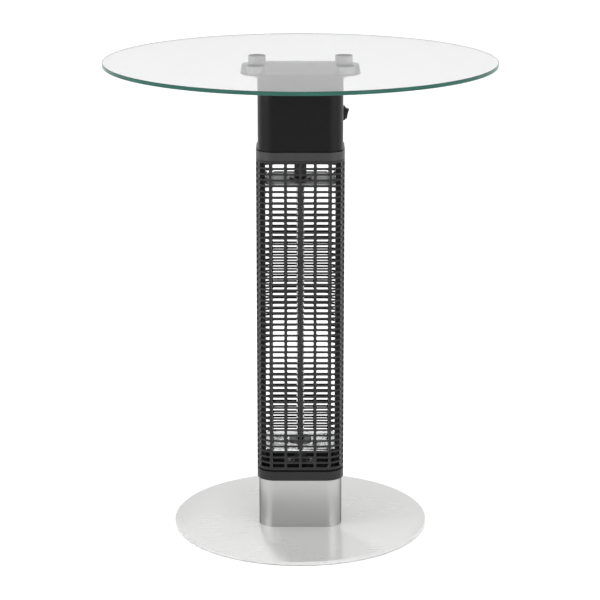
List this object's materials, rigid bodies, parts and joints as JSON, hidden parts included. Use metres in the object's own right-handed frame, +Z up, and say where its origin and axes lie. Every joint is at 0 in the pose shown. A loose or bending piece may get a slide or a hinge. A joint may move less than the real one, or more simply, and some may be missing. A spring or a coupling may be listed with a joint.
{
  "type": "patio heater",
  "caption": "Free-standing outdoor heater with a round glass table top, an upright carbon lamp inside a slotted guard, a black head with a rocker switch and a round steel base.",
  "frame": {"origin": "on the ground, under the middle of the base plate", "axes": "+Z up, +Y to the rear, +X to the side that carries the switch"},
  "size_m": [0.5999, 0.6, 0.741],
  "materials": {
    "rubber": "matt black foot pads",
    "brushed_steel": "brushed stainless steel",
    "zinc_plate": "zinc-plated steel plate",
    "stainless_screw": "bright stainless screws",
    "black_screw": "blackened steel screws",
    "gland_nylon": "black nylon",
    "terminal_nylon": "natural nylon",
    "tip_switch_plastic": "dark moulded plastic",
    "black_coat": "satin black powder coat",
    "polished_aluminium": "polished sheet",
    "dark_steel": "dark heat-resistant coat",
    "ceramic": "unglazed steatite",
    "quartz": "clear quartz",
    "carbon": "woven carbon ribbon",
    "cutout_steel": "plain drawn cap",
    "head_coat": "satin black powder coat",
    "switch_plastic": "black moulded plastic",
    "tin_blade": "tinned blades",
    "brown_wire": "silicone insulation",
    "white_wire": "glass-silk insulation",
    "blue_wire": "silicone insulation",
    "puck_metal": "satin turned metal",
    "table_glass": "clear toughened glass with a green edge"
  },
  "bodies": {
    "heater": {"foot_pads": "rubber", "base_plate": "brushed_steel", "base_screws": "stainless_screw", "column_flange": "zinc_plate", "lower_column": "brushed_steel", "column_shelf": "zinc_plate", "cable_gland": "gland_nylon", "gland_cap_nut": "gland_nylon", "gland_lock_nut": "gland_nylon", "terminal_block": "terminal_nylon", "tip_over_switch": "tip_switch_plastic", "bay_screws": "stainless_screw", "lower_ring": "black_coat", "ring_screws": "black_screw", "guard_front": "black_coat", "guard_rear": "black_coat", "upper_ring": "black_coat", "side_post_left": "black_coat", "side_post_right": "black_coat", "post_screws": "stainless_screw", "lower_reflector": "polished_aluminium", "upper_reflector": "polished_aluminium", "reflector_screws": "stainless_screw", "lamp_collars": "dark_steel", "lamp_holder_lower": "dark_steel", "lamp_holder_upper": "dark_steel", "holder_screws": "stainless_screw", "lamp_cap_lower": "ceramic", "lamp_cap_upper": "ceramic", "quartz_tube": "quartz", "carbon_filament": "carbon", "head_chassis": "zinc_plate", "chassis_screws": "stainless_screw", "thermal_cutout": "cutout_steel", "cutout_screws": "stainless_screw", "head_casing": "head_coat", "switch_housing": "switch_plastic", "switch_terminals": "tin_blade", "lead_live": "brown_wire", "lead_switched": "brown_wire", "lead_lamp": "white_wire", "lead_neutral": "blue_wire", "top_bracket": "black_coat", "bracket_screws": "black_screw", "glass_pucks": "puck_metal", "puck_screws": "stainless_screw", "glass_top": "table_glass"},
    "rocker": {"switch_rocker": "switch_plastic"}
  },
  "joints": [
    {"name": "switch_press", "type": "hinge", "parent": "heater", "child": "rocker", "pos_m": [0.0665, 0, 0.66], "axis": [0, 1, 0], "range_deg": [-26, 0]}
  ]
}
